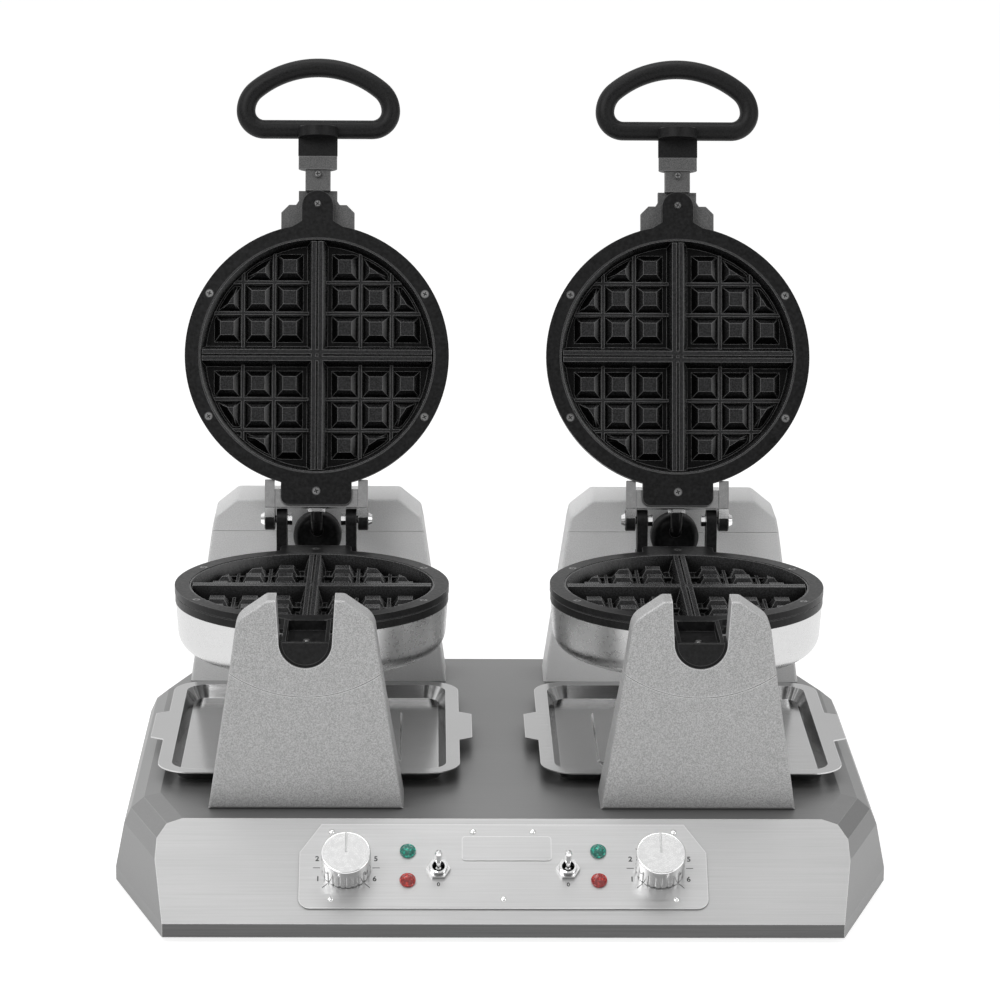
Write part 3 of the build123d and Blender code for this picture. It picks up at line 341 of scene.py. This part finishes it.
looks = {
    "base_steel": base_steel(),
    "panel_steel": brushed("panel_look", 0.54, 0.48, 0.34, 0.7, "X", 900.0, 0.00003, 0.5),
    "hammered_silver": hammered("hammered_look", 0.62, 0.36),
    "shell_steel": chrome("shell_look", 0.62, 0.26, 0.006),
    "rim_black": coated("rim_look", 0.012, 0.26, 0.34, 420.0, 0.00005, 0.5, 0.16),
    "plate_coating": coated("plate_look", 0.030, 0.42, 0.24, 900.0, 0.00010, 0.6, 0.11, 0.016, 0.35),
    "speckled_grey": hammered("bracket_look", 0.15, 0.07, 0.15, 0.55, 0.4, 0.3, 0.0),
    "handle_black": coated("handle_look", 0.012, 0.05, 0.42, 900.0, 0.00005, 0.2, 0.16),
    "black_plastic": coated("black_plastic_look", 0.008, 0.05, 0.35, 600.0, 0.00003, 0.3, 0.2),
    "plain_steel": chrome("plain_steel_look", 0.76, 0.18, 0.003),
    "tray_steel": brushed("tray_look", 0.50, 0.46, 0.16, 1.0, "X", 700.0, 0.000004, 0.5),
    "heater_steel": plain("heater_look", (0.2, 0.19, 0.18), 0.5, 0.8),
    "bright_chrome": chrome("chrome_look", 0.90, 0.12, 0.003),
    "conduit_steel": coated("conduit_look", 0.010, 0.05, 0.3, 500.0, 0.00003, 0.2, 0.3),
    "bearing_bronze": plain("bronze_look", (0.5, 0.36, 0.18), 0.35, 0.9),
    "foot_rubber": plain("rubber_look", (0.02, 0.02, 0.02), 0.7),
    "insulator": plain("insulator_look", (0.7, 0.68, 0.62), 0.6),
    "green_lens": lens_look("green_look", (0.0, 0.70, 0.48), (0.0, 0.16, 0.12)),
    "red_lens": lens_look("red_look", (0.90, 0.04, 0.02), (0.30, 0.0, 0.0)),
}
# A lit copy of the hammered silver for the rear posts and caps: painted light.
rear_lit_silver = hammered("rear_lit_look", 0.95, 0.78, 0.0, 0.5, 0.6, 0.98, 0.0)
ink = plain("ink_look", (0.015, 0.015, 0.015), 0.5)
# Near-black material for the screws' cross recesses: painted shade.
recess = plain("recess_shade_look", (0.004, 0.004, 0.004), 0.6)
screw_grey = plain("screw_look", (0.34, 0.34, 0.34), 0.3, 0.8)

for part in frame["record"]["subparts"]:
    mesh = nodes[part["node"]].data
    mesh.materials.clear()
    mesh.materials.append(looks[part["material_slot"]])
for name in ("left", "right"):
    for half in ("lid", "lower"):
        nodes[f"{name}_{half}_screws"].data.materials[0] = screw_grey
    nodes[f"{name}_turning_shaft"].data.materials[0] = looks["rim_black"]
    # The rear posts and caps take the lit copy of the silver, painted light.
    for rear in ("rear_post", "rear_cap"):
        nodes[f"{name}_{rear}"].data.materials[0] = rear_lit_silver


# Frames of the parts
def slope_matrix(x, y, z=0.0):
    """Place on the sloping face: x across, y up the slope and z out of it, all in millimetres."""
    along = Vector((0, math.cos(SLOPE), math.sin(SLOPE)))
    out = Vector((0, -math.sin(SLOPE), math.cos(SLOPE)))
    origin = Vector((0, FRONT_Y, LIP_Z)) + Vector((1, 0, 0)) * x * MM + along * y * MM + out * z * MM
    return Matrix.Translation(origin) @ Matrix((Vector((1, 0, 0)), along, out)).transposed().to_4x4()


def lid_matrix(side, x, y, z=0.0):
    """Place on an open lid's parting face, with z out of the face towards the cook."""
    up = Vector((0, math.sin(LEAN), math.cos(LEAN)))
    out = Vector((0, -math.cos(LEAN), math.sin(LEAN)))
    centre = Vector((
        side * IRON_X,
        SETBACK + HINGE_Y + HINGE_Y * math.sin(LEAN) - HINGE_Z * math.cos(LEAN),
        SHAFT_Z + HINGE_Z + HINGE_Y * math.cos(LEAN) + HINGE_Z * math.sin(LEAN),
    ))
    origin = centre + Vector((1, 0, 0)) * x * MM + up * y * MM + out * z * MM
    return Matrix.Translation(origin) @ Matrix((Vector((1, 0, 0)), up, out)).transposed().to_4x4()


def low_matrix(side, x, y, z=0.0):
    """Place on a lower half's parting face: y towards the cook and z up."""
    origin = Vector((side * IRON_X + x * MM, SETBACK - y * MM, SHAFT_Z + z * MM))
    return Matrix.Translation(origin)


def place(mesh_maker, name, body, slot, matrix, material):
    mesh = bpy.data.meshes.new(name)
    bm = bmesh.new()
    mesh_maker(bm)
    bmesh.ops.recalc_face_normals(bm, faces=bm.faces)
    bm.transform(matrix)
    bm.to_mesh(mesh)
    bm.free()
    mesh.materials.append(material)
    obj = bpy.data.objects.new(name, mesh)
    bpy.context.scene.collection.objects.link(obj)
    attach(obj, body)
    return obj


def dome(radius, height, rings=5, segments=24):
    """Low dome with a rim that sits on the surface."""
    def make(bm):
        loops = []
        for r in range(rings):
            turn = math.pi / 2 * r / rings
            loop = [
                bm.verts.new((
                    radius * math.cos(turn) * math.cos(2 * math.pi * i / segments),
                    radius * math.cos(turn) * math.sin(2 * math.pi * i / segments),
                    height * math.sin(turn),
                ))
                for i in range(segments)
            ]
            loops.append(loop)
        top = bm.verts.new((0, 0, height))
        for a, b in zip(loops, loops[1:]):
            for i in range(segments):
                j = (i + 1) % segments
                bm.faces.new((a[i], a[j], b[j], b[i]))
        for i in range(segments):
            bm.faces.new((loops[-1][i], loops[-1][(i + 1) % segments], top))
        for face in bm.faces:
            face.smooth = True
    return make


def cross(length, width, lift):
    """Cross recess of a screw, drawn as a thin dark cross on its head: painted shade standing for the recess."""
    def make(bm):
        a, b = length / 2, width / 2
        points = [
            (a, b), (b, b), (b, a), (-b, a), (-b, b), (-a, b),
            (-a, -b), (-b, -b), (-b, -a), (b, -a), (b, -b), (a, -b),
        ]
        top = [bm.verts.new((x, y, lift)) for x, y in points]
        bottom = [bm.verts.new((x, y, 0)) for x, y in points]
        bm.faces.new(top)
        for i in range(len(points)):
            j = (i + 1) % len(points)
            bm.faces.new((bottom[i], bottom[j], top[j], top[i]))
    return make


# Screws of the lids and lower rims
for name, side in SIDES.items():
    for half in ("lid", "lower"):
        spots = [(x * RIM_SCREW_X, y * RIM_SCREW_Y, -0.2) for x in (-1, 1) for y in (-1, 1)]
        spots.append((0, TAIL_SCREW_Y, -0.2))
        if half == "lid":
            spots.append((0, NECK_SCREW_Y, 1.5))
            spots.append((0, HANDLE_SCREW_Y, 1.2))
        matrix_of = lid_matrix if half == "lid" else low_matrix
        body = f"{name}_lid" if half == "lid" else f"{name}_iron"
        for i, (x, y, z) in enumerate(spots):
            where = matrix_of(side, x, y, z) @ Matrix.Rotation(0.6 + i * 0.7, 4, "Z")
            shape = cross(3.4 * MM, 0.8 * MM, 0.05 * MM)
            place(shape, f"{name}_{half}_recess_{i}", body, "plain_steel", where, recess)



def half_round(radius, length, steps=24):
    """Half cylinder along y with its flat back at z = 0 and softened top edge."""
    def make(bm):
        stations = [(0.0, 1.0), (length - 0.6 * MM, 1.0), (length, 0.96)]
        loops = []
        for y, scale in stations:
            turns = [math.pi * k / steps for k in range(steps + 1)]
            reach = radius * scale
            loops.append([bm.verts.new((reach * math.cos(t), y, reach * math.sin(t))) for t in turns])
        for a, b in zip(loops, loops[1:]):
            for k in range(steps):
                bm.faces.new((a[k], a[k + 1], b[k + 1], b[k]))
            bm.faces.new((a[0], b[0], b[-1], a[-1]))
        bm.faces.new(loops[0][::-1])
        bm.faces.new(loops[-1])
    return make


# Bosses that rise over the middle of the handles' bars
for name, side in SIDES.items():
    where = lid_matrix(side, 0, 167.0, 0.3)
    place(half_round(14.98 * MM, 8.0 * MM), f"{name}_handle_gable", f"{name}_lid", "handle_black", where, looks["handle_black"])


# Rivets on the control panel
RIVETS = [(-118.5, 74.7), (118.5, 74.7), (-118.5, 19.5), (118.5, 19.5), (-20.7, 75), (20.7, 75), (0, 19.7)]
for i, (x, y) in enumerate(RIVETS):
    where = slope_matrix(x, y, PANEL_TOP)
    place(dome(2.2 * MM, 1.1 * MM), f"panel_rivet_{i}", "root", "bright_chrome", where, looks["bright_chrome"])


# Numbers and ticks round the dials
def number(text, x, y, size, name):
    curve = bpy.data.curves.new(name, "FONT")
    curve.body = text
    curve.size = size * MM
    curve.align_x = "CENTER"
    curve.align_y = "CENTER"
    curve.offset = 0.12 * MM
    curve.extrude = 0.03 * MM
    curve.materials.append(ink)
    obj = bpy.data.objects.new(name, curve)
    bpy.context.scene.collection.objects.link(obj)
    obj.matrix_world = slope_matrix(x, y, 1.02)
    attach(obj, "root")


def bar(length, width, height):
    def make(bm):
        bmesh.ops.create_cube(bm, size=1.0)
        bm.transform(Matrix.Diagonal((length, width, height, 1)))
    return make


for name, side in SIDES.items():
    x0, y0 = side * DIAL_X, DIAL_Y
    for text, angle in (("1", 245.0), ("2", 290.0), ("5", 70.0), ("6", 115.0)):
        turn = math.radians(90 - angle)
        x, y = x0 + DIAL_REACH * math.cos(turn), y0 + DIAL_REACH * math.sin(turn)
        number(text, x, y, 5.6, f"{name}_dial_{text}")
    for i, angle in enumerate((-135, -90, -45, 45, 90, 135)):
        turn = math.radians(90 - angle)
        x, y = x0 + TICK_REACH * math.cos(turn), y0 + TICK_REACH * math.sin(turn)
        where = slope_matrix(x, y, 1.02) @ Matrix.Rotation(turn, 4, "Z")
        tick = bar(5.0 * MM, 0.5 * MM, 0.06 * MM)
        place(tick, f"{name}_dial_tick_{i}", "root", "black_plastic", where, ink)
    number("0", side * SWITCH_X, SWITCH_LABEL_Y, 4.2, f"{name}_switch_zero")


# Conduits that carry the wires from the turning shafts up into the lids
def make_conduit(name, side):
    start = Vector((side * IRON_X, SETBACK + 139.0 * MM, SHAFT_Z + 6.0 * MM))
    end = lid_matrix(side, 0, -113.0, -15.5).translation
    curve = bpy.data.curves.new(f"{name}_conduit_path", "CURVE")
    curve.dimensions = "3D"
    spline = curve.splines.new("BEZIER")
    spline.bezier_points.add(1)
    first, last = spline.bezier_points
    up = Vector((0, math.sin(LEAN), math.cos(LEAN)))
    first.co = start
    first.handle_right = start + Vector((0, -0.010, 0.002))
    first.handle_left = start - Vector((0, -0.006, 0.0))
    last.co = end
    last.handle_left = end - up * 0.012
    last.handle_right = end + up * 0.006
    curve.resolution_u = 60
    source = bpy.data.objects.new(f"{name}_conduit_path", curve)
    bpy.context.scene.collection.objects.link(source)
    line = bpy.data.meshes.new_from_object(source)
    points = [v.co.copy() for v in line.vertices]
    bpy.data.objects.remove(source)
    bpy.data.meshes.remove(line)
    mesh = bpy.data.meshes.new(f"{name}_conduit_skin")
    bm = bmesh.new()
    loops = []
    total = len(points)
    for i, point in enumerate(points):
        ahead = points[min(i + 1, total - 1)] - points[max(i - 1, 0)]
        ahead.normalize()
        across = Vector((1, 0, 0))
        normal = ahead.cross(across)
        loops.append([
            bm.verts.new(point + (across * math.cos(t) + normal * math.sin(t)) * CONDUIT_RADIUS)
            for t in (2 * math.pi * k / 24 for k in range(24))
        ])
    for a, b in zip(loops, loops[1:]):
        for k in range(24):
            j = (k + 1) % 24
            face = bm.faces.new((a[k], a[j], b[j], b[k]))
            face.smooth = True
    bm.faces.new(loops[0][::-1])
    bm.faces.new(loops[-1])
    bmesh.ops.recalc_face_normals(bm, faces=bm.faces)
    bm.to_mesh(mesh)
    bm.free()
    mesh.materials.append(looks["conduit_steel"])
    obj = bpy.data.objects.new(f"{name}_conduit_skin", mesh)
    bpy.context.scene.collection.objects.link(obj)
    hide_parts(f"{name}_conduit")
    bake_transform(obj)


def tube(outer, inner, length, segments=40, round_off=0.0):
    """Straight ring along z, from 0 to its length, with softened outer corners."""
    def make(bm):
        profile = [
            (inner, 0.0), (outer - round_off, 0.0), (outer, round_off),
            (outer, length - round_off), (outer - round_off, length), (inner, length),
        ]
        loops = [
            [
                bm.verts.new((r * math.cos(t), r * math.sin(t), z))
                for t in (2 * math.pi * k / segments for k in range(segments))
            ]
            for r, z in profile
        ]
        for a, b in zip(loops, loops[1:] + loops[:1]):
            for k in range(segments):
                j = (k + 1) % segments
                bm.faces.new((a[k], a[j], b[j], b[k]))
    return make


def rounded_plate(width, height, thick, radius, steps=6):
    def make(bm):
        points = []
        for cx, cy, start in ((1, 1, 0), (-1, 1, 90), (-1, -1, 180), (1, -1, 270)):
            for k in range(steps + 1):
                t = math.radians(start + 90 * k / steps)
                points.append((
                    cx * (width / 2 - radius) + radius * math.cos(t),
                    cy * (height / 2 - radius) + radius * math.sin(t),
                ))
        low = [bm.verts.new((x, y, 0)) for x, y in points]
        top = [bm.verts.new((x, y, thick)) for x, y in points]
        bm.faces.new(top)
        bm.faces.new(low[::-1])
        for i in range(len(points)):
            j = (i + 1) % len(points)
            bm.faces.new((low[i], low[j], top[j], top[i]))
    return make


for name, side in SIDES.items():
    make_conduit(name, side)
    body = f"{name}_lid"
    steel = looks["plain_steel"]
    # Black bushes over the ends of the hinge arms, and the arms' front straps
    for hand, letter in ((-1, "l"), (1, "r")):
        turn = Matrix.Rotation(math.radians(90) * hand, 4, "Y")
        where = lid_matrix(side, hand * 31.5, HINGE_PIN_Y, HINGE_PIN_Z) @ turn
        bush = tube(8.3 * MM, 3.05 * MM, 7.9 * MM, 40, 0.6 * MM)
        place(bush, f"{name}_hinge_bush_{letter}", body, "rim_black", where, looks["rim_black"])
        where = lid_matrix(side, hand * 35.45, -105.0, -8.2)
        strap = rounded_plate(7.5 * MM, 21.0 * MM, 1.4 * MM, 0.8 * MM)
        place(strap, f"{name}_arm_strap_{letter}", body, "plain_steel", where, steel)
    # Gland nut of the conduit
    where = lid_matrix(side, 0, -115.6, -15.5) @ Matrix.Rotation(math.radians(90), 4, "X")
    gland = tube(6.6 * MM, 4.5 * MM, 3.2 * MM, 6, 0.4 * MM)
    place(gland, f"{name}_conduit_gland", body, "plain_steel", where, steel)

# Blank plate on the control panel
blank = rounded_plate(62.0 * MM, 20.0 * MM, 0.5 * MM, 2.5 * MM)
place(blank, "panel_badge", "root", "panel_steel", slope_matrix(2.5, 61.0, PANEL_TOP), looks["panel_steel"])


# Floor, backdrop and light
floor_mat, tree, shader = new_material("floor_look")
shader.inputs["Base Color"].default_value = (0.45, 0.45, 0.45, 1)
shader.inputs["Roughness"].default_value = 0.9
shader.inputs["Specular IOR Level"].default_value = 0.0
rays = add(tree, "ShaderNodeLightPath")
seen = math_node(tree, "MAXIMUM", rays.outputs["Is Camera Ray"], rays.outputs["Is Glossy Ray"])
seen = math_node(tree, "MAXIMUM", seen, rays.outputs["Is Transmission Ray"])
glow = add(tree, "ShaderNodeEmission", Color=(1, 1, 1, 1))
tree.links.new(math_node(tree, "MULTIPLY", seen, 0.84), glow.inputs["Strength"])
total = add(tree, "ShaderNodeAddShader")
tree.links.new(shader.outputs[0], total.inputs[0])
tree.links.new(glow.outputs[0], total.inputs[1])
tree.links.new(total.outputs[0], tree.nodes["Material Output"].inputs["Surface"])

bm = bmesh.new()
bmesh.ops.create_grid(bm, x_segments=2, y_segments=2, size=25.0)
floor_mesh = bpy.data.meshes.new("floor")
bm.to_mesh(floor_mesh)
bm.free()
floor_mesh.materials.append(floor_mat)
floor = bpy.data.objects.new("floor", floor_mesh)
bpy.context.scene.collection.objects.link(floor)

world = bpy.data.worlds.new("studio")
world.use_nodes = True
bpy.context.scene.world = world
tree = world.node_tree
background = tree.nodes["Background"]
background.inputs["Color"].default_value = (1, 1, 1, 1)
rays = add(tree, "ShaderNodeLightPath")
seen = math_node(tree, "MAXIMUM", rays.outputs["Is Camera Ray"], rays.outputs["Is Glossy Ray"])
seen = math_node(tree, "MAXIMUM", seen, rays.outputs["Is Transmission Ray"])
direction = add(tree, "ShaderNodeTexCoord")
split = add(tree, "ShaderNodeSeparateXYZ")
tree.links.new(direction.outputs["Generated"], split.inputs[0])
behind = ramp(tree, split.outputs["Y"], 0.30, 1.0, -0.35, 0.1)
above = ramp(tree, split.outputs["Z"], 0.0, 1.0, 0.25, 0.7)
room = math_node(tree, "MAXIMUM", behind, above)
room = math_node(tree, "MULTIPLY", room, ramp(tree, split.outputs["X"], 1.15, 0.5, -0.8, 0.8))
mixed = add(tree, "ShaderNodeMix", data_type="FLOAT")
tree.links.new(seen, mixed.inputs[0])
mixed.inputs[2].default_value = 0.36
tree.links.new(room, mixed.inputs[3])
tree.links.new(mixed.outputs[0], background.inputs["Strength"])


def lamp(name, size, power, place_at, aim, colour=(1, 1, 1)):
    data = bpy.data.lights.new(name, "AREA")
    data.shape = "RECTANGLE"
    data.size = size[0]
    data.size_y = size[1]
    data.energy = power
    data.color = colour
    obj = bpy.data.objects.new(name, data)
    bpy.context.scene.collection.objects.link(obj)
    obj.location = place_at
    obj.rotation_euler = (Vector(aim) - Vector(place_at)).to_track_quat("-Z", "Y").to_euler()


lamp("key", (1.6, 1.2), 26.0, (-1.3, -1.5, 2.0), (0, 0, 0.15))
lamp("fill", (1.6, 1.6), 12.0, (1.8, -1.2, 1.2), (0, 0, 0.2))
lamp("top", (1.4, 1.0), 12.0, (0.0, 0.4, 2.3), (0, 0, 0.1))

bpy.context.scene.view_settings.view_transform = "Standard"
